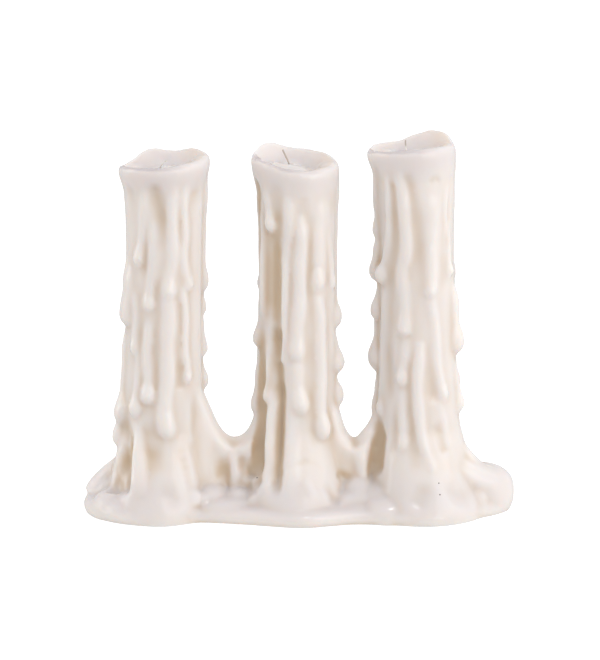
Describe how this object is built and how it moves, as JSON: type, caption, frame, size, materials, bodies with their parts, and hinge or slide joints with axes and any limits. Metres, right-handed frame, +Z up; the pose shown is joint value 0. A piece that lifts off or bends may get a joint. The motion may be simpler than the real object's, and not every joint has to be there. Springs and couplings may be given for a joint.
{
  "type": "melted candle",
  "caption": "Melted wax candle: dripping upright pillars joined by low curtains of wax on one lobed puddle, each with a hollow top and a short wick.",
  "frame": {"origin": "centre of the bounding box in X and Y, on the surface that the candle stands on", "axes": "+X along the row of pillars, towards the viewer's right; -Y is the front; +Z is up"},
  "size_m": [0.2165, 0.0729, 0.1917],
  "materials": {
    "wax": "ivory candle wax, smooth, semi-gloss and slightly translucent",
    "wick": "waxed cotton thread, dull"
  },
  "bodies": {
    "root": {"wax_body": "wax", "wick_left": "wick", "wick_middle": "wick", "wick_right": "wick"}
  },
  "joints": []
}
